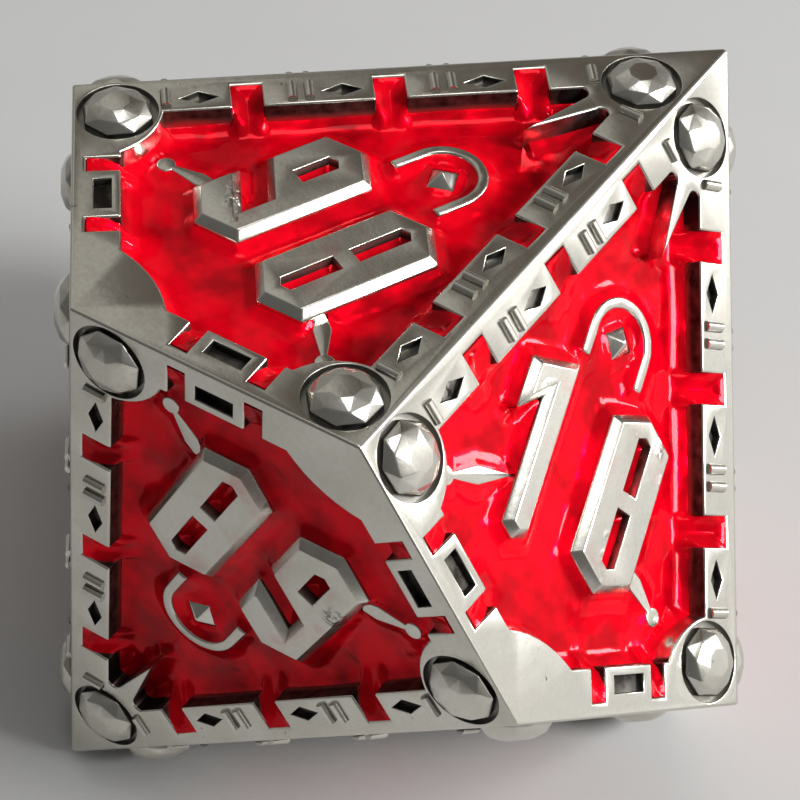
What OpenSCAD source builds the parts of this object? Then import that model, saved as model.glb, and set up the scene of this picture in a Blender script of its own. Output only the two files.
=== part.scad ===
// Ten-sided die numbered 00 to 90 in tens: a plated metal casting with ten kite faces.
// Each face has a notched border with lozenges and reels, three faceted studs, two chamfered
// block digits, an arched bezel and two rays in a sunk field, which is filled with red enamel.
// The die rests on the studs of its 00 face, with the 90 face on top.

/* [Die] */
// Distance between two opposite faces
across_flats = 16; // [15:0.25:18]
// Distance between the two pole tips
pole_to_pole = 25; // [24:0.25:28]
// Depth of the sunk field below the face
field_depth = 1; // [0.9:0.05:1.1]

/* [Border] */
// Width of the border along every edge of a face
border_w = 1.15; // [1.1:0.05:1.3]
// Width of the thin rim outside a notch, whose end slopes down from it at 45 degrees
rim_w = 0.3; // [0.2:0.05:0.45]
// Width of a notch in a long edge
notch_w = 0.75; // [0.5:0.05:1]
// Distance from the waist corner to the first notch of a long edge
notch_first = 4.15; // [3.6:0.05:4.6]
// Distance between notches of a long edge
notch_pitch = 3.45; // [3:0.05:3.6]
// Number of notches in a long edge
notch_count = 3; // [1:1:3]
// Width of a notch in a short edge
short_notch_w = 0.45; // [0.35:0.05:0.6]
// Distance from the waist corner to the first notch of a short edge
waist_notch_at = 2.85; // [2.7:0.05:3]
// Distance from the foot corner to the other notch of a short edge
foot_notch_at = 2.7; // [2.5:0.05:2.9]

/* [Border ornament] */
// Length of a lozenge sunk into a border block
lozenge_l = 0.95; // [0.6:0.05:1]
// Width of a lozenge
lozenge_w = 0.42; // [0.25:0.01:0.6]
// Distance from a notch back to the lozenge before it
lozenge_at = 1.15; // [1:0.05:1.2]
// Length of a reel, a half-round bar across a border block
reel_l = 0.55; // [0.4:0.05:0.6]
// Width of a reel
reel_w = 0.26; // [0.16:0.02:0.3]
// Distance from a notch back to the nearest reel before it
reel_at = 1.95; // [1.9:0.05:2]
// Distance between the two reels of a pair
reel_pitch = 0.42; // [0.36:0.02:0.46]
// Length of the panel sunk into a short block
panel_l = 1; // [0.6:0.05:1.2]
// Width of that panel
panel_w = 0.42; // [0.25:0.01:0.6]
// Depth of lozenges and panels
engraving_depth = 0.22; // [0.1:0.02:0.4]

/* [Corner plates] */
// Distance from the pole tip to the edge of its plate
tip_plate_l = 4.1; // [3.8:0.05:4.4]
// Radius of the two arches in that edge
arch_r = 0.2; // [0.15:0.01:0.22]
// Distance of each arch from the middle of the face
arch_x = 0.44; // [0.4:0.01:0.48]
// Length of the pendant between the arches
pendant_l = 1.9; // [1:0.05:2.2]
// Radius of the plate round a waist corner
waist_plate_r = 1.75; // [1.7:0.01:1.8]
// Distance from the waist corner to the middle of its plate
waist_plate_in = 0.95; // [0.9:0.01:1]
// Radius of the round plate at the foot corner
foot_plate_r = 3.15; // [2.6:0.05:3.6]
// Height of that plate above the foot corner
foot_plate_h = 2.05; // [1.6:0.05:2.3]

/* [Studs] */
// Diameter of a corner stud at its foot, over the corners of its facets
stud_d = 1.75; // [1.4:0.05:1.8]
// Diameter of a stud's shoulder, where its steep facets meet its shallow ones
stud_shoulder_d = 1.35; // [1.2:0.05:1.4]
// Diameter of the flat crown on a stud
stud_crown_d = 0.7; // [0.4:0.05:0.9]
// Height of a stud above the face
stud_h = 0.35; // [0.3:0.01:0.5]
// Height of a stud's shoulder above the face
stud_shoulder_h = 0.22; // [0.15:0.01:0.25]
// Number of corners round a stud
stud_sides = 8; // [6:1:10]
// Width of the groove round a stud's foot
groove_w = 0.1; // [0.08:0.01:0.12]
// Depth of that groove below the face
groove_depth = 0.2; // [0.1:0.02:0.3]
// Distance from the pole tip to its stud
tip_stud_at = 2.6; // [2.5:0.05:2.8]
// Distance from a waist corner to its stud
waist_stud_at = 1.5; // [1.45:0.01:1.6]

/* [Digits] */
// Width of a digit
digit_w = 2.15; // [1.8:0.05:2.3]
// Height of a digit
digit_h = 4.7; // [4:0.05:4.9]
// Gap between the two digits
digit_gap = 0.8; // [0.5:0.05:1]
// Height of the middle of the digits above the waist corners
digit_y = 2.8; // [2.6:0.05:3]
// Height of the point at the top and the bottom of a digit
digit_point = 0.55; // [0.3:0.05:0.8]
// Width of the slots in a digit
slot_w = 0.46; // [0.35:0.01:0.6]
// Height of the bar between the slots of a zero or an eight
bar_h = 0.45; // [0.3:0.05:0.7]
// Metal above the upper slot and below the lower one
cap_h = 0.65; // [0.4:0.05:0.9]
// Height of the end of a one's flag
flag_h = 1.4; // [1:0.05:1.6]
// Height of that flag where it leaves the stem
flag_root_h = 1; // [0.9:0.05:1.2]
// Width and height of the chamfer round a digit's top
digit_chamfer = 0.2; // [0.1:0.01:0.24]
// Depth of the digits' tops below the face
digit_sink = 0.25; // [0.05:0.05:0.4]

/* [Bezel and rays] */
// Outer radius of the arched bezel
bezel_r = 1.1; // [0.9:0.05:1.2]
// Width of the bezel's wall
bezel_w = 0.28; // [0.2:0.02:0.4]
// Height of the bezel's middle above the waist corners
bezel_y = 6.3; // [6.1:0.05:6.6]
// Length of the bezel's straight legs
bezel_leg = 0.8; // [0.5:0.05:0.9]
// Width of the nailhead in the bezel
nailhead_w = 0.94; // [0.6:0.02:1]
// Height of the nailhead's pyramid
nailhead_h = 0.3; // [0.15:0.01:0.4]
// Depth of the bezel's top below the face
bezel_sink = 0.48; // [0.3:0.02:0.55]
// Distance of a ray's inner end from the middle of the face
ray_x = 1.8; // [1.75:0.05:1.95]
// Height of a ray's inner end above the waist corners
ray_y = 1.9; // [1.7:0.05:2.1]
// Length of a ray
ray_l = 2.4; // [2:0.05:2.5]
// Width of a ray
ray_w = 0.44; // [0.3:0.02:0.5]
// Slope of a ray below the level
ray_slope = 27; // [20:1:35]
// Diameter of the bead at the end of a ray
bead_d = 0.46; // [0.3:0.02:0.5]
// Depth of the rays' tops below the face
ray_sink = 0.6; // [0.4:0.02:0.66]

/* [Enamel] */
// Thickness of the enamel on the floor of the field
enamel_t = 0.28; // [0.15:0.01:0.34]
// Depth below the face at which the enamel ends on the slope of a notch
enamel_lip = 0.06; // [0.04:0.02:0.4]
// Gap left by the enamel's shrinkage at each wall
enamel_gap = 0.02; // [0.01:0.005:0.05]

/* [Hidden] */
$fn = 48;
// Spare length of a cut beyond the surface that it opens
over = 0.5;

// The die is a five-sided trapezohedron: five upper and five lower faces, turned by half a step
sides = 5;
step = 360 / sides;
in_r = across_flats / 2;
half_h = pole_to_pole / 2;
// Angle between a face's normal and the pole axis
tilt = acos(in_r / half_h);
waist_z = half_h * pow(tan(step / 4), 2);
waist_r = (half_h + waist_z) / tan(tilt);

// Corners of a face, from the point of the face nearest the die's centre, with y towards the pole
corner_x = waist_r * sin(step / 2);
corner_y = waist_z * sin(tilt) - waist_r * cos(step / 2) * cos(tilt);
tip = [0, half_h * sin(tilt)];
foot = [0, -waist_r * cos(tilt) - waist_z * sin(tilt)];
corner = [corner_x, corner_y];
kite = [tip, mirrored(corner), foot, corner];
short_edge = norm(corner - foot);
plate_y = tip.y - tip_plate_l;

// Direction from a waist corner along the middle of its angle
inward = unit(unit(tip - corner) + unit(foot - corner));
waist_stud = corner + waist_stud_at * inward;
stud_places = [tip - [0, tip_stud_at], waist_stud, mirrored(waist_stud)];

// Distance of a border block's middle from the edge of the face
block_y = (rim_w + border_w) / 2;
// Section of a notch, from the edge into the face and up from it
notch_foot = rim_w + field_depth;
notch_end = max(notch_foot, border_w) + enamel_t;
notch_profile = [
    [rim_w, over], [rim_w, 0], [notch_foot, -field_depth],
    [notch_end, -field_depth], [notch_end, over]
];
// Section of the enamel that runs out on the slope of a notch
slope_gap = enamel_gap * sqrt(2);
runout_profile = [
    [rim_w + enamel_lip + slope_gap, -enamel_lip], [notch_foot + slope_gap, -field_depth],
    [notch_end, -field_depth], [notch_end, enamel_t - field_depth]
];

digit_x = (digit_w + digit_gap) / 2;
digit_slope = digit_point / (digit_w / 2);
stroke_w = (digit_w - slot_w) / 2;
// Height of the mouths of a digit with three strokes across it, and their distance from its middle
mouth_h = (digit_h - 3 * stroke_w) / 2 - 2 * digit_chamfer;
mouth_y = (stroke_w + digit_chamfer) / 2;

// Tens digits in order round the die: opposite faces add up to nine
upper_tens = [9, 1, 7, 3, 5];
lower_tens = [6, 4, 0, 8, 2];
all_tens = [0:9];
// Angle of the first upper face round the pole axis
first_upper = -step / 2;

function field_name(tens) = str("enamel_field_", tens, "0");
function counters_name(tens) = str("enamel_counters_", tens, "0");

function unit(v) = v / norm(v);
function mirrored(p) = [-p.x, p.y];
function turned(points) = [for (p = points) -p];
function flipped(points) = [for (i = [len(points) - 1:-1:0]) mirrored(points[i])];
function outward(a, b) = let (e = unit(b - a)) [e.y, -e.x];
// Outline of a polygon, listed counter-clockwise, with every edge moved outwards by d
function grown(points, d) = [
    for (i = [0:len(points) - 1])
        let (
            before = points[(i + len(points) - 1) % len(points)],
            after = points[(i + 1) % len(points)],
            m = outward(before, points[i]),
            n = outward(points[i], after)
        )
        points[i] + d * (m + n) / (1 + m * n)
];
// Upright slot of a digit, with a flat foot and a pointed top
function slot(foot_y, top_y) = let (x = slot_w / 2) [
    [-x, foot_y], [x, foot_y], [x, top_y - x * digit_slope], [0, top_y], [-x, top_y - x * digit_slope]
];

// Outlines in a digit, from its middle
digit_outline = let (x = digit_w / 2, y = digit_h / 2) [
    [0, -y], [x, digit_point - y], [x, y - digit_point],
    [0, y], [-x, y - digit_point], [-x, digit_point - y]
];
one_outline = let (x = stroke_w / 2, y = digit_h / 2) [
    [0, -y], [x, x * digit_slope - y], [x, y],
    [-digit_w / 2, y - digit_point], [-digit_w / 2, digit_point - y]
];
slot_top = digit_h / 2 - cap_h;
upper_slot = slot(bar_h / 2, slot_top);
lower_slot = turned(upper_slot);
// Counters of a six and a nine, with a stroke's width of metal round them
nine_slot = slot(stroke_w / 2, digit_h / 2 - stroke_w);
six_slot = turned(nine_slot);
side_x = digit_w / 2 + over;
// Mouths between three strokes, open to the side, named for their place on the digit
upper_right = let (x = slot_w / 2, y = mouth_y, drop = (side_x + x) * digit_slope) [
    [-x, y], [side_x, y - drop], [side_x, y + mouth_h - drop], [-x, y + mouth_h]
];
upper_left = flipped(upper_right);
lower_left = turned(upper_right);
lower_right = flipped(lower_left);
// Cuts that leave a one, a four and a seven
one_side = let (
    x = stroke_w / 2,
    end_y = digit_h / 2 - digit_point - flag_h,
    root_y = digit_h / 2 - digit_point * 2 * x / (x + digit_w / 2) - flag_root_h,
    flag_slope = (root_y - end_y) / (digit_w / 2 - x)
) [
    [-side_x, -digit_h / 2 - over], [-x, -digit_h / 2 - over],
    [-x, root_y], [-side_x, end_y - over * flag_slope]
];
four_top = [
    [-slot_w / 2, bar_h / 2], [slot_w / 2, bar_h / 2],
    [slot_w / 2, digit_h / 2 + over], [-slot_w / 2, digit_h / 2 + over]
];
four_foot = [
    [-side_x, -digit_h / 2 - over], [slot_w / 2, -digit_h / 2 - over],
    [slot_w / 2, -bar_h / 2], [-side_x, -bar_h / 2]
];
seven_side = [
    [-side_x, -digit_h / 2 - over], [slot_w / 2, -digit_h / 2 - over],
    [slot_w / 2, slot_top - slot_w / 2 * digit_slope], [0, slot_top],
    [-side_x, slot_top - side_x * digit_slope]
];
// Nick that pinches the waist of an eight, so that it differs from a barred zero
nick_x = (digit_w - bar_h) / 2;
waist_nick = [[nick_x, 0], [side_x, nick_x - side_x], [side_x, side_x - nick_x]];

function outline_of(d) = d == 1 ? one_outline : digit_outline;
function open_cuts(d) =
    d == 1 ? [one_side]
    : d == 2 ? [upper_left, lower_right]
    : d == 3 ? [upper_left, lower_left]
    : d == 4 ? [four_top, four_foot]
    : d == 5 ? [upper_right, lower_left]
    : d == 6 ? [upper_right]
    : d == 7 ? [seven_side]
    : d == 8 ? [waist_nick, flipped(waist_nick)]
    : d == 9 ? [lower_left]
    : [];
function counters_of(d) =
    d == 0 || d == 8 ? [upper_slot, lower_slot]
    : d == 6 ? [six_slot]
    : d == 9 ? [nine_slot]
    : [];

// A solid through outlines at rising heights, each with as many points
module lofted(outlines, heights) {
    n = len(outlines[0]);
    last = len(outlines) - 1;
    polyhedron(
        [for (k = [0:last], p = outlines[k]) [p.x, p.y, heights[k]]],
        concat(
            [[for (i = [0:n - 1]) i]],
            [for (k = [0:last - 1], i = [0:n - 1]) let (a = k * n, j = (i + 1) % n) each
                [[a + i, a + n + i, a + j], [a + j, a + n + i, a + n + j]]],
            [[for (i = [n - 1:-1:0]) last * n + i]]
        )
    );
}

module both_sides() {
    children();
    mirror([1, 0, 0]) children();
}

// Puts a shape on an edge of the kite, with x along the edge and y into the face
module on_edge(from, to, along) {
    way = unit(to - from);
    translate(from + along * way) rotate(atan2(way.y, way.x)) children();
}

// A section drawn out along an edge, with the section's x into the face
module drawn(profile, width) {
    rotate([90, 0, 90]) linear_extrude(width, center = true) polygon(profile);
}

// The notches of both sides of a face, or what fills them, with the given section
module notches(profile, gap) {
    both_sides() {
        for (i = [0:notch_count - 1])
            on_edge(corner, tip, notch_first + i * notch_pitch) drawn(profile, notch_w - 2 * gap);
        on_edge(foot, corner, short_edge - waist_notch_at) drawn(profile, short_notch_w - 2 * gap);
        on_edge(foot, corner, foot_notch_at) drawn(profile, short_notch_w - 2 * gap);
    }
}

module tip_plate(grow) {
    difference() {
        translate([-corner_x, plate_y - grow]) square([2 * corner_x, tip_plate_l + over]);
        both_sides() translate([arch_x, plate_y]) circle(arch_r - grow);
    }
    half_w = arch_x - arch_r;
    polygon(grown([
        [0, plate_y - pendant_l], [half_w, plate_y], [half_w, plate_y + arch_r],
        [-half_w, plate_y + arch_r], [-half_w, plate_y]
    ], grow));
}

module corner_plates(grow) {
    tip_plate(grow);
    both_sides() translate(corner - [waist_plate_in, 0]) circle(waist_plate_r + grow);
    translate(foot + [0, foot_plate_h - foot_plate_r]) circle(foot_plate_r + grow);
}

// Outline of the sunk field of a face without its notches, grown by the given amount
module field_shape(grow) {
    difference() {
        polygon(grown(kite, grow - border_w));
        corner_plates(-grow);
    }
}

// A digit with its closed counters filled in
module digit_shape(d, grow) {
    difference() {
        polygon(grown(outline_of(d), grow));
        for (cut = open_cuts(d)) polygon(grown(cut, -grow));
    }
}

module digit_counters(d, grow) {
    for (counter = counters_of(d)) polygon(grown(counter, grow));
}

module tens_place() translate([-digit_x, corner_y + digit_y]) children();
module units_place() translate([digit_x, corner_y + digit_y]) children();

module number_shape(tens, grow) {
    tens_place() digit_shape(tens, grow);
    units_place() digit_shape(0, grow);
}

// A block digit, chamfered round its top and its open cuts, with its closed counters filled in
module digit(d) {
    outline = outline_of(d);
    root_z = -field_depth - over;
    chamfer_z = -digit_sink - digit_chamfer;
    difference() {
        lofted([outline, outline, grown(outline, -digit_chamfer)], [root_z, chamfer_z, -digit_sink]);
        for (cut = open_cuts(d)) {
            heights = [root_z - over, chamfer_z, over - digit_sink];
            lofted([cut, cut, grown(cut, digit_chamfer + over)], heights);
        }
    }
}

module number(tens) {
    tens_place() digit(tens);
    units_place() digit(0);
}

module number_counters(tens, grow) {
    tens_place() digit_counters(tens, grow);
    units_place() digit_counters(0, grow);
}

module bezel_arch(radius, leg) {
    circle(radius);
    translate([-radius, -leg]) square([2 * radius, leg]);
}

module bezel_shape(grow) {
    translate([0, corner_y + bezel_y]) difference() {
        bezel_arch(bezel_r + grow, bezel_leg + grow);
        bezel_arch(bezel_r - bezel_w - grow, bezel_leg + over);
    }
}

module nailhead_shape(grow) {
    side = nailhead_w / sqrt(2) + 2 * grow;
    translate([0, corner_y + bezel_y]) rotate(45) square(side, center = true);
}

// A tapered ray that ends in a bead
module ray_shape(grow) {
    translate([ray_x, corner_y + ray_y]) rotate(-ray_slope) {
        polygon(grown([[0, 0], [ray_l / 2, -ray_w / 2], [ray_l, 0], [ray_l / 2, ray_w / 2]], grow));
        translate([ray_l - bead_d / 2, 0]) circle(bead_d / 2 + grow);
    }
}

// Every raised thing that stands in the field
module island_shapes(tens, grow) {
    number_shape(tens, grow);
    bezel_shape(grow);
    nailhead_shape(grow);
    both_sides() ray_shape(grow);
}

// Solid from below the field's floor up to the given depth below the face
module from_floor(sink) {
    translate([0, 0, -field_depth - over]) linear_extrude(field_depth + over - sink) children();
}

module nailhead() {
    base_z = -bezel_sink - nailhead_h / 2;
    from_floor(-base_z) nailhead_shape(0);
    half = nailhead_w / sqrt(2) / 2;
    translate([0, corner_y + bezel_y, base_z]) rotate(45) intersection_for(turn = [0, 90])
        rotate([90, 0, turn]) linear_extrude(2 * half, center = true)
            polygon([[-half, 0], [half, 0], [0, nailhead_h]]);
}

// The space cut out of the casting under one face
module field_cut(tens) {
    difference() {
        translate([0, 0, -field_depth]) linear_extrude(field_depth + over) field_shape(0);
        number(tens);
        from_floor(bezel_sink) bezel_shape(0);
        from_floor(ray_sink) both_sides() ray_shape(0);
        nailhead();
    }
    translate([0, 0, -field_depth]) linear_extrude(field_depth + over) number_counters(tens, 0);
    notches(notch_profile, 0);
}

module lozenge() polygon([
    [-lozenge_l / 2, 0], [0, -lozenge_w / 2], [lozenge_l / 2, 0], [0, lozenge_w / 2]
]);

// Puts a shape on the long border block before a notch, the given distance back from the notch
module on_block(i, back) {
    on_edge(corner, tip, notch_first + i * notch_pitch - back) translate([0, block_y]) children();
}

// The reels of one side of the border: pairs between notches and single ones at its ends
module reels() {
    for (i = [0:notch_count], j = [0:(i == 0 || i == notch_count) ? 0 : 1])
        on_block(i, reel_at + j * reel_pitch) rotate([90, 0, 0])
            cylinder(d = reel_w, h = reel_l, center = true);
}

// Small marks sunk into the blocks of one side of the border
module engraving_shapes() {
    for (i = [0:notch_count - 1]) on_block(i, lozenge_at) lozenge();
    on_edge(foot, corner, (short_edge - waist_notch_at + foot_notch_at) / 2)
        translate([0, block_y]) square([panel_l, panel_w], center = true);
}

module engraving_cut() {
    translate([0, 0, -engraving_depth]) linear_extrude(engraving_depth + over)
        both_sides() engraving_shapes();
    for (place = stud_places)
        translate([place.x, place.y, -groove_depth])
            cylinder(d = stud_d + 2 * groove_w, h = groove_depth + over);
}

// Corners of a ring of facets, the first one turned by a share of the step between them
function ring(diameter, turn) = [
    for (i = [0:stud_sides - 1])
        let (a = (i + turn) * 360 / stud_sides) [cos(a), sin(a)] * diameter / 2
];

// A stud with two rows of triangular facets and a flat crown, rooted below its groove
module stud() {
    foot_ring = ring(stud_d, 0);
    lofted(
        [foot_ring, foot_ring, ring(stud_shoulder_d, 0.5), ring(stud_crown_d, 1)],
        [-groove_depth - groove_w, 0, stud_shoulder_h, stud_h]
    );
}

// Puts a shape on the plane of a face, with y towards the face's pole
module on_upper_face(i) {
    rotate([0, 0, first_upper + i * step]) rotate([0, tilt, 0])
        translate([0, 0, in_r]) rotate([0, 0, 90]) children();
}

module on_lower_face(i) {
    rotate([0, 0, i * step]) rotate([0, 180 - tilt, 0])
        translate([0, 0, in_r]) rotate([0, 0, -90]) children();
}

// Puts a shape on the face that bears the given tens
module on_face(tens) {
    for (i = [0:sides - 1]) {
        if (upper_tens[i] == tens) on_upper_face(i) children();
        if (lower_tens[i] == tens) on_lower_face(i) children();
    }
}

// Stands the die on the studs of its 00 face, with 90 on top, read from the front
module standing() {
    translate([0, 0, in_r + stud_h]) rotate([0, 0, -90]) rotate([0, -tilt, 0])
        rotate([0, 0, -first_upper]) children();
}

// The bare ten-sided solid, the space between five pairs of parallel faces
module blank() {
    reach = 2 * pole_to_pole;
    intersection_for(i = [0:sides - 1])
        rotate([0, 0, first_upper + i * step]) rotate([0, tilt, 0])
            cube([reach, reach, across_flats], center = true);
}

module cast_body() color("silver") standing() {
    difference() {
        blank();
        for (tens = all_tens) on_face(tens) {
            field_cut(tens);
            engraving_cut();
        }
    }
    for (tens = all_tens) on_face(tens) {
        for (place = stud_places) translate(place) stud();
        both_sides() reels();
    }
}

module on_floor() translate([0, 0, -field_depth]) linear_extrude(enamel_t) children();

module enamel_field(tens) color("crimson") standing() on_face(tens) {
    on_floor() difference() {
        field_shape(-enamel_gap);
        island_shapes(tens, enamel_gap);
    }
    notches(runout_profile, enamel_gap);
}

module enamel_counters(tens) color("red") standing() on_face(tens)
    on_floor() number_counters(tens, -enamel_gap);

cast_body();
for (tens = all_tens) {
    enamel_field(tens);
    enamel_counters(tens);
}
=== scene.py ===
from math import acos, cos, pi, radians, sin, sqrt

import bmesh
import bpy
from mathutils import Matrix, Vector, geometry, kdtree, noise
from mathutils.bvhtree import BVHTree


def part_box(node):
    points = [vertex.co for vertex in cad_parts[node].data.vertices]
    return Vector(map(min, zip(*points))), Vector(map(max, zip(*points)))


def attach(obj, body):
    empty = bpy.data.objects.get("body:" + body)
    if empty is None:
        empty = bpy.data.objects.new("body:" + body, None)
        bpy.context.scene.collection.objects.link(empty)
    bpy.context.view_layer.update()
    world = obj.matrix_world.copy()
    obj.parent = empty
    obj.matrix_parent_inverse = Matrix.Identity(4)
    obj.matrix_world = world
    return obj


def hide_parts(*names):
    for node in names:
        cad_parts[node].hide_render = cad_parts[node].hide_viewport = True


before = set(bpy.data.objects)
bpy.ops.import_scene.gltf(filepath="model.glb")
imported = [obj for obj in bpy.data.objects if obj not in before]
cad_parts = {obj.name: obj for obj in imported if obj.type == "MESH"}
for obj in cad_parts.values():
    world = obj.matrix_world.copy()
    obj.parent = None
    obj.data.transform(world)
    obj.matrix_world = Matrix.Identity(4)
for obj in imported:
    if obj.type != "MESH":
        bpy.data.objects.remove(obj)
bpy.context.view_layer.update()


# The casting. One zinc-alloy body with ten kite faces, nickel plated. It leaves its mould with
# soft edges, so every edge that stands out is rounded, and its hollows hold a dark patina, which
# painted shade deepens in the hollows and on the steep walls inside the border.
mm = 0.001
across_flats = 16 * mm
pole_to_pole = 25 * mm
sides = 5
weld = 0.0005 * mm
same_depth = 0.004 * mm
flat_angle = radians(0.5)
crease_angle = radians(24)
facet_angle = radians(6)
spike_angle = radians(120)
metal_smooth_angle = radians(35)

low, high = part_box("cast_body")
centre = (low + high) / 2
tilt = acos(across_flats / pole_to_pole)
pole = Vector((0, sin(tilt), cos(tilt)))
upper_normals = [Matrix.Rotation(i * 2 * pi / sides, 3, pole) @ Vector((0, 0, 1)) for i in range(sides)]
face_normals = upper_normals + [-normal for normal in upper_normals]


def depth_of(point):
    """How far a point lies below the nearest of the die's ten face planes."""
    return across_flats / 2 - max(normal.dot(point - centre) for normal in face_normals)


def welded_copy(node, name):
    """A copy of a node's mesh as a new object, its triangles merged, selected alone in edit mode."""
    bpy.ops.object.select_all(action="DESELECT")
    piece = bpy.data.objects.new(name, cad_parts[node].data.copy())
    bpy.context.scene.collection.objects.link(piece)
    piece.data.materials.clear()
    piece.select_set(True)
    bpy.context.view_layer.objects.active = piece
    bpy.ops.mesh.customdata_custom_splitnormals_clear()
    bpy.ops.object.mode_set(mode="EDIT")
    bpy.ops.mesh.select_all(action="SELECT")
    bpy.ops.mesh.remove_doubles(threshold=weld)
    return piece


def apply_modifier(piece, kind, **settings):
    """Adds a modifier with the given settings and applies it."""
    modifier = piece.modifiers.new(kind.title(), kind)
    for key, value in settings.items():
        setattr(modifier, key, value)
    bpy.ops.object.modifier_apply(modifier=modifier.name)


def store(piece, name, value_at):
    """Keeps a value of each vertex as an attribute for the material to read."""
    attribute = piece.data.attributes.new(name, "FLOAT", "POINT")
    for vertex, item in zip(piece.data.vertices, attribute.data):
        item.value = value_at(vertex)


# Depth below the face of the raised things' edges, and how far these are rounded: the crowns of
# the studs, the tops and the chamfers of the digits, the bezel and the rays
round_of_level = [
    (-0.35 * mm, 0.03 * mm),
    (0.25 * mm, 0.03 * mm),
    (0.45 * mm, 0.03 * mm),
    (0.48 * mm, 0.07 * mm),
    (0.6 * mm, 0.03 * mm),
]
die_edge_round = 0.065 * mm
border_round = 0.06 * mm
engraved_round = 0.025 * mm
engraved_depth = 0.3 * mm
facet_round = 0.025 * mm
upright_round = 0.05 * mm
reel_h = 0.14 * mm
widest_round = 0.07 * mm
round_steps = 3


def round_at(edge):
    """How far to round an edge of the casting, from the level that it lies on."""
    angle = edge.calc_face_angle_signed(0)
    depths = [depth_of(vertex.co) for vertex in edge.verts]
    if min(depths) < -reel_h:
        return facet_round if angle > facet_angle else 0
    if angle < crease_angle or min(depths) < -same_depth:
        return 0
    if abs(depths[0] - depths[1]) > same_depth:
        return upright_round if angle < spike_angle else 0
    for level, size in round_of_level:
        if abs(depths[0] - level) < same_depth:
            return size
    if abs(depths[0]) > same_depth:
        return 0
    deepest = max(depth_of(vertex.co) for face in edge.link_faces for vertex in face.verts)
    if deepest < same_depth:
        return die_edge_round
    return engraved_round if deepest < engraved_depth else border_round


casting = welded_copy("cast_body", "casting")
bpy.ops.mesh.dissolve_limited(angle_limit=flat_angle)
bm = bmesh.from_edit_mesh(casting.data)
weight = bm.edges.layers.float.new("bevel_weight_edge")
for edge in bm.edges:
    edge[weight] = round_at(edge) / widest_round
bmesh.update_edit_mesh(casting.data)
bpy.ops.object.mode_set(mode="OBJECT")
apply_modifier(
    casting, "BEVEL", width=widest_round, segments=round_steps, limit_method="WEIGHT",
    use_clamp_overlap=False, loop_slide=False, miter_outer="MITER_ARC", face_strength_mode="FSTR_ALL",
)

# The flats have holes, and the bevels cross the seams in them, so each flat is taken out and
# filled anew between its outlines
flat_cosine = 0.99999
strong = 16384
large_face_weight = 80
inside_outlines = 1


def turn_to_plane(normal):
    """The turn that brings a normal to +Z, so that a face's points have plane coordinates."""
    across = normal.orthogonal().normalized()
    return Matrix((across, normal.cross(across), normal))


def pairs_round(corners):
    """The edges of a polygon, in order round it, as pairs of its corners."""
    return zip(corners, corners[1:] + corners[:1])


def joined_to(seed, rest, neighbours_of):
    """The seed and all that hangs together with it, taken out of the rest."""
    group, fresh = [seed], [seed]
    while fresh:
        for other in neighbours_of(fresh.pop()):
            if other in rest:
                del rest[other]
                group.append(other)
                fresh.append(other)
    return group


def faces_beside(face):
    return [other for edge in face.edges for other in edge.link_faces]


def fill_flat(bm, outlines, normal, strength):
    """Fills a flat between its outlines: pairs of vertices that have the flat on their left."""
    corners = list(dict.fromkeys(vertex for pair in outlines for vertex in pair))
    order = {vertex: i for i, vertex in enumerate(corners)}
    lines = [(order[start], order[end]) for start, end in outlines]
    to_plane = turn_to_plane(normal)
    level = (to_plane @ corners[0].co).z
    places = [(to_plane @ vertex.co).to_2d() for vertex in corners]
    cut = geometry.delaunay_2d_cdt(places, lines, [], inside_outlines, weld)
    spots, edges, triangles, spot_sources, edge_sources, _ = cut
    vertices = []
    for spot, sources in zip(spots, spot_sources):
        if sources:
            vertices.append(corners[sources[0]])
        else:
            vertices.append(bm.verts.new(to_plane.transposed() @ Vector((*spot, level))))

    # A stretch of triangles between outlines is part of the flat if it lies mostly on their left
    on_left = {}
    for (start, end), sources in zip(edges, edge_sources):
        way = spots[end] - spots[start]
        for source in sources:
            line_start, line_end = lines[source]
            ahead = way.dot(places[line_end] - places[line_start]) > 0
            on_left[start, end] = way.length if ahead else -way.length
            on_left[end, start] = -on_left[start, end]
    triangles = [tuple(triangle) for triangle in triangles]
    triangle_at = {pair: triangle for triangle in triangles for pair in pairs_round(triangle)}

    def triangles_beside(triangle):
        return [triangle_at.get(pair[::-1]) for pair in pairs_round(triangle) if pair not in on_left]

    rest = dict.fromkeys(triangles)
    while rest:
        stretch = joined_to(rest.popitem()[0], rest, triangles_beside)
        if sum(on_left.get(pair, 0) for triangle in stretch for pair in pairs_round(triangle)) > 0:
            for triangle in stretch:
                points = [vertices[i] for i in triangle]
                if not bm.faces.get(points):
                    bm.faces.new(points)[strength] = strong


bm = bmesh.new()
bm.from_mesh(casting.data)
strength = bm.faces.layers.int["__mod_weightednormals_faceweight"]
flats = {}
for face in bm.faces:
    normal = max(face_normals, key=(face.verts[0].co - centre).dot)
    if abs(face.normal.dot(normal)) > flat_cosine:
        flats[face] = normal
while flats:
    face, normal = flats.popitem()
    patch = joined_to(face, flats, faces_beside)
    if len(patch) > 1:
        edges = [edge for face in patch for edge in face.edges]
        loops = [loop for face in patch for loop in face.loops if edges.count(loop.edge) == 1]
        outlines = [(loop.vert, loop.link_loop_next.vert) for loop in loops]
        bmesh.ops.delete(bm, geom=patch, context="FACES_KEEP_BOUNDARY")
        fill_flat(bm, outlines, normal, strength)
bm.to_mesh(casting.data)
bm.free()
bpy.ops.object.shade_smooth_by_angle(angle=metal_smooth_angle)
apply_modifier(
    casting, "WEIGHTED_NORMAL", keep_sharp=True, weight=large_face_weight, use_face_influence=True,
)
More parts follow.
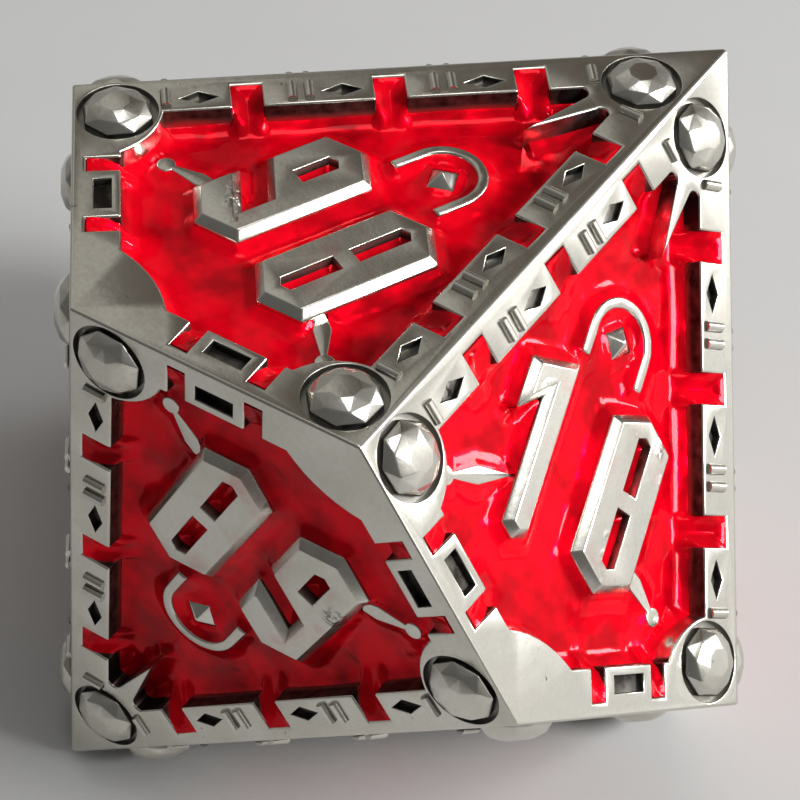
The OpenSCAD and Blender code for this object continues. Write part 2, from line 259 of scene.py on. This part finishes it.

# Patina and painted shade: the casting is darkened in hollows, where it covers much of the sky
# close by, as patina and painted shade together, and on the steep walls inside the border, as
# painted shade
sky_rays = 20
sky_reach = 0.8 * mm
sky_lift = 0.01 * mm
wall_from_edge = 1.3 * mm
wall_top = 0.05 * mm
golden_turn = pi * (3 - sqrt(5))
sky_ways = []
for i in range(sky_rays):
    out = sqrt((i + 0.5) / sky_rays)
    sky_ways.append(Vector((out * cos(i * golden_turn), out * sin(i * golden_turn), sqrt(1 - out * out))))


def tree_of_mesh(mesh):
    return BVHTree.FromPolygons(
        [vertex.co for vertex in mesh.vertices],
        [polygon.vertices for polygon in mesh.polygons],
    )


casting_tree = tree_of_mesh(casting.data)


def depth_in_mm(vertex):
    return depth_of(vertex.co) / mm


def covered_share(vertex):
    """Share of the sky above a vertex that the casting covers close by."""
    turn = turn_to_plane(vertex.normal).transposed()
    start = vertex.co + vertex.normal * sky_lift
    hits = [casting_tree.ray_cast(start, turn @ way, sky_reach)[0] for way in sky_ways]
    return 1 - hits.count(None) / sky_rays


def wall_share(vertex):
    """How steep the casting is at a vertex in the border, below its top, and 0 elsewhere."""
    place = vertex.co - centre
    beside, normal = sorted(face_normals, key=place.dot)[-2:]
    from_edge = (across_flats / 2 - beside.dot(place)) / sin(normal.angle(beside))
    inside = from_edge < wall_from_edge and depth_of(vertex.co) > wall_top
    return (1 - abs(normal.dot(vertex.normal))) * inside


store(casting, "depth", depth_in_mm)
store(casting, "cover", covered_share)
store(casting, "wall", wall_share)


class Shade:
    """A socket in a node tree. Arithmetic on it adds Math nodes."""

    def __init__(self, tree, socket=None):
        self.tree = tree
        self.socket = socket

    def node(self, kind, settings, inputs, output=0):
        """Adds a node, sets it, then fills its sockets with values or links, and wraps one output."""
        made = self.tree.nodes.new("ShaderNode" + kind)
        for key, value in settings.items():
            setattr(made, key, value)
        for key, value in inputs.items():
            if isinstance(value, Shade):
                self.tree.links.new(value.socket, made.inputs[key])
            else:
                made.inputs[key].default_value = value
        return Shade(self.tree, made.outputs[output])

    def maths(self, operation, first, second):
        return self.node("Math", {"operation": operation}, {0: first, 1: second})

    def __add__(self, other):
        return self.maths("ADD", self, other)

    def __radd__(self, other):
        return self.maths("ADD", other, self)

    def __sub__(self, other):
        return self.maths("SUBTRACT", self, other)

    def __rsub__(self, other):
        return self.maths("SUBTRACT", other, self)

    def __mul__(self, other):
        return self.maths("MULTIPLY", self, other)

    def __rmul__(self, other):
        return self.maths("MULTIPLY", other, self)

    def rise(self, start, end):
        """0 at start and 1 at end, smooth between them; start may be the larger."""
        settings = {"interpolation_type": "SMOOTHSTEP"}
        return self.node("MapRange", settings, {"Value": self, "From Min": start, "From Max": end})

    def attribute(self, name):
        return self.node("Attribute", {"attribute_name": name}, {}, "Fac")

    def noise(self, size, detail=3.0, roughness=0.5):
        """Noise in object space whose patches are about the given size."""
        place = self.node("TexCoord", {}, {}, "Object")
        sockets = {"Vector": place, "Scale": 1 / size, "Detail": detail, "Roughness": roughness}
        return self.node("TexNoise", {}, sockets, "Fac")

    def mix(self, first, second):
        """The first colour where this is 0, the second where it is 1."""
        return self.node("Mix", {"data_type": "RGBA"}, {0: self, 6: first, 7: second}, 2)

    def bump(self, height, distance, strength, under=None):
        sockets = {"Height": height, "Distance": distance, "Strength": strength}
        if under:
            sockets["Normal"] = under
        return self.node("Bump", {}, sockets, "Normal")


def new_material(name, **constants):
    """A material whose Principled shader has these constants, the tree to build in and the shader."""
    material = bpy.data.materials.new(name)
    material.use_nodes = True
    shader = material.node_tree.nodes["Principled BSDF"]
    for key, value in constants.items():
        shader.inputs[key.replace("_", " ")].default_value = value
    return material, Shade(material.node_tree), shader


def feed(shader, **sockets):
    """Links shades to a shader's sockets."""
    for key, value in sockets.items():
        value.tree.links.new(value.socket, shader.inputs[key.replace("_", " ")])


nickel_bright = (0.66, 0.64, 0.585, 1)
nickel_dull = (0.55, 0.525, 0.465, 1)
patina_and_shade_dark = (0.03, 0.025, 0.022, 1)
enamel_smear = (0.5, 0.1, 0.11, 1)
ripple_h = 0.03 * mm
grain_h = 0.006 * mm
gravel_h = 0.06 * mm

nickel, shade, shader = new_material("nickel_plate", Metallic=1.0)
patches = shade.noise(1.6 * mm)
specks = shade.noise(0.12 * mm, detail=4.0, roughness=0.6)

# The digits' tops are 0.25 mm deep and the feet of their chamfers 0.45 mm: they are worn to gravel
# in spots, and have a trace of enamel on them
depth = shade.attribute("depth")
on_digits = depth.rise(0.2, 0.24) * depth.rise(0.5, 0.4)
worn = on_digits * shade.noise(1.5 * mm, detail=2.0).rise(0.65, 0.73)
gravel = shade.noise(0.14 * mm, detail=3.0, roughness=0.6)
smear = on_digits * shade.noise(1.1 * mm).rise(0.52, 0.75) * 0.3

pits = shade.noise(0.2 * mm, detail=2.0).rise(0.7, 0.78) * shade.noise(1.2 * mm).rise(0.52, 0.62)
pits = pits + worn * gravel.rise(0.52, 0.44)
cover = shade.attribute("cover")
# Patina in the hollows with painted shade over it, and painted shade on the steep border walls
patina_and_shade = cover.rise(0.2, 0.45) * (1.0 - cover.rise(0.55, 0.75) * 0.45)
patina_and_shade = patina_and_shade + shade.attribute("wall").rise(0.3, 0.7)
patina_and_shade = patina_and_shade * (0.7 + 0.45 * shade.noise(0.3 * mm))
plate = (patches.rise(0.35, 0.65) * 0.6 + specks.rise(0.35, 0.75) * 0.4).mix(nickel_bright, nickel_dull)
plate = smear.mix(plate, enamel_smear)
plate = (patina_and_shade + pits * 0.7).mix(plate, patina_and_shade_dark)
ripple = shade.noise(0.9 * mm, detail=2.0)
grain = shade.noise(0.09 * mm, detail=4.0)
bumps = shade.bump(ripple, ripple_h, 0.35)
bumps = shade.bump(grain - pits, grain_h, 0.25, bumps)
bumps = shade.bump(gravel * worn, gravel_h, 0.9, bumps)
feed(
    shader, Base_Color=plate, Normal=bumps,
    Roughness=0.14 + 0.12 * patches + 0.08 * specks + 0.3 * patina_and_shade + 0.1 * smear,
)
casting.data.materials.append(nickel)
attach(casting, "root")
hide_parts("cast_body")


# The enamel. Red and glass-like, poured into the sunk field of each face and the counters of its
# digits. It wets the walls, sinks a little between them and runs out on the slopes of the notches.
grid_step = 0.12 * mm
rim_step = 0.08 * mm
rim_rows = [0.05 * mm, 0.11 * mm, 0.18 * mm, 0.26 * mm, 0.35 * mm, 0.45 * mm]
row_clearance = 0.9
wetting_w = 0.45 * mm
wetting_h = 0.2 * mm
wetting_share = 0.75
wall_overlap = 0.025 * mm
wall_probes = [0.06 * mm, 0.1 * mm]
wave_l = 1.4 * mm
wave_h = 0.045 * mm
smooth_r = 0.07 * mm
smooth_count = 6
facing_up = 0.3
enamel_smooth_angle = radians(50)
cad_tree = tree_of_mesh(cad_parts["cast_body"].data)


def height_under(point, normal, tree):
    """Height above the die's centre, along a normal, of what lies first below a point, or None."""
    hit = tree.ray_cast(point + normal * across_flats, -normal)[0]
    return normal.dot(hit - centre) if hit else None


def open_edges(triangles):
    """The edges, as pairs of indices, that only one of the triangles has."""
    pairs = {pair for face in triangles for pair in pairs_round(face)}
    return [pair for pair in pairs if pair[::-1] not in pairs]


def outlines_of(bm, top_faces, to_plane):
    """Places along the outlines of the faces on top, the lines that join them and rows inside them."""
    places, lines, rows = [], [], []
    for edge in bm.edges:
        tops = [face for face in edge.link_faces if face in top_faces]
        if len(tops) == 1:
            start, end, middle = [
                (to_plane @ (point - centre)).to_2d()
                for point in (edge.verts[0].co, edge.verts[1].co, tops[0].calc_center_median())
            ]
            inward = Vector((start.y - end.y, end.x - start.x)).normalized()
            inward *= 1 if inward.dot(middle - start) > 0 else -1
            count = max(1, round((end - start).length / rim_step))
            lines += [(len(places) + i, len(places) + i + 1) for i in range(count)]
            steps = [start.lerp(end, i / count) for i in range(count + 1)]
            places += steps
            rows += [(step + inward * distance, distance) for step in steps for distance in rim_rows]
    return places, lines, rows


def grid_over(places):
    """A triangular grid over the box round some places."""
    low = [min(place[axis] for place in places) for axis in (0, 1)]
    high = [max(place[axis] for place in places) for axis in (0, 1)]
    row_step = grid_step * sin(pi / 3)
    for row in range(int((high[1] - low[1]) / row_step) + 1):
        for column in range(int((high[0] - low[0]) / grid_step) + 1):
            yield Vector((low[0] + (column + row % 2 / 2) * grid_step, low[1] + row * row_step))


def tree_of_places(places, indices):
    """A tree that finds the nearest of the places with these indices."""
    tree = kdtree.KDTree(len(indices))
    for index in indices:
        tree.insert(places[index].to_3d(), index)
    tree.balance()
    return tree


def poured(node, name):
    """The enamel in a node as a closed mesh, with a fine surface that climbs the walls round it."""
    piece = welded_copy(node, name)
    bpy.ops.object.mode_set(mode="OBJECT")
    bm = bmesh.new()
    bm.from_mesh(piece.data)
    middle = sum((vertex.co for vertex in bm.verts), Vector()) / len(bm.verts)
    normal = max(face_normals, key=(middle - centre).dot)
    floor_h = min(normal.dot(vertex.co - centre) for vertex in bm.verts)
    to_plane = turn_to_plane(normal)
    from_plane = to_plane.transposed()
    top_faces = dict.fromkeys(face for face in bm.faces if face.normal.dot(normal) > facing_up)
    bm.verts.index_update()
    top_tree = BVHTree.FromPolygons(
        [vertex.co for vertex in bm.verts],
        [[vertex.index for vertex in face.verts] for face in top_faces],
    )
    places, lines, rows = outlines_of(bm, top_faces, to_plane)
    bm.free()

    def height_at(tree, place):
        return height_under(from_plane @ place.to_3d() + centre, normal, tree)

    def triangles_between(places, edges):
        """Triangles that join places in the face, and the places again, where they lie on enamel."""
        cut = geometry.delaunay_2d_cdt(places, edges, [], inside_outlines, weld)
        middles = [sum((cut[0][i] for i in face), Vector((0, 0))) / 3 for face in cut[2]]
        kept = [face for face, spot in zip(cut[2], middles) if height_at(top_tree, spot) is not None]
        return cut[0], kept

    outline_tree = tree_of_places(places, range(len(places)))
    rows += [(place, rim_rows[-1] + grid_step / 2) for place in grid_over(places)]
    for place, distance in rows:
        clear = outline_tree.find(place.to_3d())[2] > row_clearance * distance
        if clear and height_at(top_tree, place) is not None:
            places.append(place)
    places, top = triangles_between(places, lines)

    # At the rim the enamel climbs the wall beside it by a share of the wall's height
    level = []
    for place in places:
        around = [place + Vector((cos(turn), sin(turn))) * smooth_r for turn in range(smooth_count)]
        heights = [height_at(top_tree, spot) for spot in around + [place]]
        heights = [height for height in heights if height is not None]
        level.append(sum(heights) / len(heights) if heights else floor_h)
    rim_edges = open_edges(top)
    outward, neighbours, climb = {}, {}, {}
    for start, end in rim_edges:
        way = (places[end] - places[start]).normalized()
        for index, other in ((start, end), (end, start)):
            outward[index] = outward.get(index, Vector((0, 0))) + Vector((way.y, -way.x))
            neighbours.setdefault(index, []).append(other)
    for index, way in outward.items():
        beside = [places[index] + way.normalized() * distance for distance in wall_probes]
        wall_h = max(height_at(cad_tree, place) for place in beside) - level[index]
        climb[index] = min(wetting_h, wetting_share * max(0, wall_h))
    rim_tree = tree_of_places(places, outward)

    def climb_at(place):
        """How far the enamel has climbed at a place, from the stretch of the rim nearest to it."""
        nearest = rim_tree.find(place.to_3d())[1]
        found = []
        for other in neighbours[nearest]:
            share = geometry.intersect_point_line(place, places[nearest], places[other])[1]
            share = min(1, max(0, share))
            distance = (places[nearest].lerp(places[other], share) - place).length
            found.append((distance, climb[nearest] + share * (climb[other] - climb[nearest])))
        distance, climbed = min(found)
        return climbed * max(0, 1 - distance / wetting_w) ** 2

    # The surface, a skirt down to the floor of the field and a bottom that lies on it
    surface = []
    for index, (place, height) in enumerate(zip(places, level)):
        height += climb_at(place) + noise.noise((from_plane @ place.to_3d()) / wave_l + normal) * wave_h
        if index in outward:
            place = place + outward[index].normalized() * wall_overlap
        surface.append(Vector((*place, height)))
    order = {index: i for i, index in enumerate(outward)}
    foot = {index: len(surface) + i for index, i in order.items()}
    under = [Vector((*surface[index].to_2d(), floor_h)) for index in outward]
    skirt = [(end, start, foot[start], foot[end]) for start, end in rim_edges]
    foot_edges = [(order[start], order[end]) for start, end in rim_edges]
    bottom = triangles_between([places[index] for index in outward], foot_edges)[1]
    bottom = [[len(surface) + i for i in reversed(face)] for face in bottom]
    points = [from_plane @ point + centre for point in surface + under]
    piece.data.clear_geometry()
    piece.data.from_pydata(points, [], top + skirt + bottom)
    bpy.ops.object.mode_set(mode="EDIT")
    bpy.ops.mesh.select_all(action="SELECT")
    bpy.ops.mesh.delete_loose()
    bpy.ops.object.mode_set(mode="OBJECT")
    bpy.ops.object.shade_smooth_by_angle(angle=enamel_smooth_angle)
    return piece


enamel_red = (0.85, 0.0, 0.011, 1)
enamel_deep = (0.4, 0.0, 0.005, 1)
swell_h = 0.3 * mm
dimple_h = 0.03 * mm

enamel, shade, shader = new_material(
    "red_enamel", Metallic=0.35, Coat_Weight=0.2, Coat_Roughness=0.04, Coat_IOR=1.5, Specular_IOR_Level=0.0,
)
cloud = shade.noise(1.4 * mm)
streak = shade.noise(0.5 * mm)
# The enamel's tone differs at random between deep and bright red in cloudy patches, which also stands for
# painted reflection of the metal floor under the glass
body = (cloud * 0.75 + streak * 0.25).rise(0.36, 0.62).mix(enamel_deep, enamel_red)
swell = shade.noise(1.6 * mm, detail=2.0)
dimple = shade.noise(0.4 * mm, detail=2.0)
bumps = shade.bump(dimple, dimple_h, 0.3, shade.bump(swell, swell_h, 0.6))
feed(shader, Base_Color=body, Normal=bumps, Roughness=0.12 + 0.15 * cloud)

for number in [f"{digit}0" for digit in range(10)]:
    for kind in ("field", "counters"):
        piece = poured(f"enamel_{kind}_{number}", f"poured_{kind}_{number}")
        piece.data.materials.append(enamel)
        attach(piece, "root")
        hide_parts(f"enamel_{kind}_{number}")


# The floor. A wide sheet of pale matt board, cut square and laid flat, with a faint mottle in it.
# The die rests on it with the studs of its 00 face.
floor_size = 1.2
board_dark = (0.43, 0.43, 0.425, 1)
board_pale = (0.46, 0.46, 0.455, 1)
bpy.ops.object.select_all(action="DESELECT")
bpy.ops.mesh.primitive_plane_add(size=floor_size, location=(0, 0, 0))
floor = bpy.context.object
floor.name = "floor"
board, shade, shader = new_material("pale_board", Roughness=0.85)
feed(shader, Base_Color=shade.noise(6 * mm).mix(board_dark, board_pale))
floor.data.materials.append(board)


# The studio. A wide soft window behind the die on the right, with two small bright lamps before it
# and one overhead. The walls are pale, dimmer in front, with a dark screen and a pale card on the
# left, which the top face mirrors.
def towards(azimuth, elevation):
    """A direction from the die, its azimuth counted from +X towards +Y, in degrees."""
    turn, lift = radians(azimuth), radians(elevation)
    return Vector((cos(turn) * cos(lift), sin(turn) * cos(lift), sin(lift)))


def softbox(name, way, distance, width, height, brightness):
    """An area light that faces the die and shines with the given radiance."""
    light = bpy.data.lights.new(name, "AREA")
    light.shape = "RECTANGLE"
    light.size, light.size_y = width, height
    light.energy = brightness * pi * width * height
    lamp = bpy.data.objects.new(name, light)
    lamp.location = centre + way * distance
    lamp.rotation_mode = "QUATERNION"
    lamp.rotation_quaternion = (-way).to_track_quat("-Z", "Y")
    bpy.context.scene.collection.objects.link(lamp)


softbox("window", towards(52, 20), distance=0.3, width=0.36, height=0.2, brightness=0.65)
softbox("lamp", towards(75, 17), distance=0.28, width=0.06, height=0.06, brightness=35)
softbox("key", towards(36, 36), distance=0.28, width=0.09, height=0.09, brightness=36)
softbox("ceiling", towards(76, 85), distance=0.3, width=0.1, height=0.1, brightness=4)

wall_light = (0.3, 0.298, 0.287, 1)
front_light = (0.13, 0.13, 0.126, 1)
screen_light = (0.1, 0.082, 0.066, 1)
card_light = (0.52, 0.512, 0.48, 1)
world = bpy.data.worlds.new("studio")
bpy.context.scene.world = world
world.use_nodes = True
shade = Shade(world.node_tree)
way = shade.node("TexCoord", {}, {}, "Generated")


def patch_round(middle, outer_cosine, inner_cosine):
    """A soft round patch of the walls: 1 near its middle, falling to 0 between two angles from it."""
    settings = {"operation": "DOT_PRODUCT"}
    return shade.node("VectorMath", settings, {0: way, 1: middle}, "Value").rise(outer_cosine, inner_cosine)


walls = patch_round(towards(-63, 10), -0.1, 0.8).mix(wall_light, front_light)
walls = patch_round(towards(131, 42), 0.92, 0.975).mix(walls, screen_light)
walls = patch_round(towards(175, 46), 0.945, 0.965).mix(walls, card_light)
feed(world.node_tree.nodes["Background"], Color=walls)
bpy.context.scene.view_settings.view_transform = "Standard"


# The camera, at the photograph's angle: its place and lens were fitted to seven corners of the die.
# Azimuth is counted from -Y towards +X.
camera_azimuth = radians(57.5)
camera_elevation = radians(47.24)
camera_roll = radians(1.73)
camera_distance = 66.46 * mm
camera_aim = centre + Vector((-0.045, 0.377, 0.222)) * mm
lens_mm = 117.3
sensor_mm = 36
back = Vector((
    sin(camera_azimuth) * cos(camera_elevation),
    -cos(camera_azimuth) * cos(camera_elevation),
    sin(camera_elevation),
))
camera = bpy.data.objects.new("camera", bpy.data.cameras.new("camera"))
camera.data.lens = lens_mm
camera.data.sensor_width = sensor_mm
camera.data.clip_start = 1 * mm
camera.location = camera_aim + back * camera_distance
look = (-back).to_track_quat("-Z", "Y").to_matrix() @ Matrix.Rotation(camera_roll, 3, "Z")
camera.rotation_euler = look.to_euler()
bpy.context.scene.collection.objects.link(camera)
bpy.context.scene.camera = camera
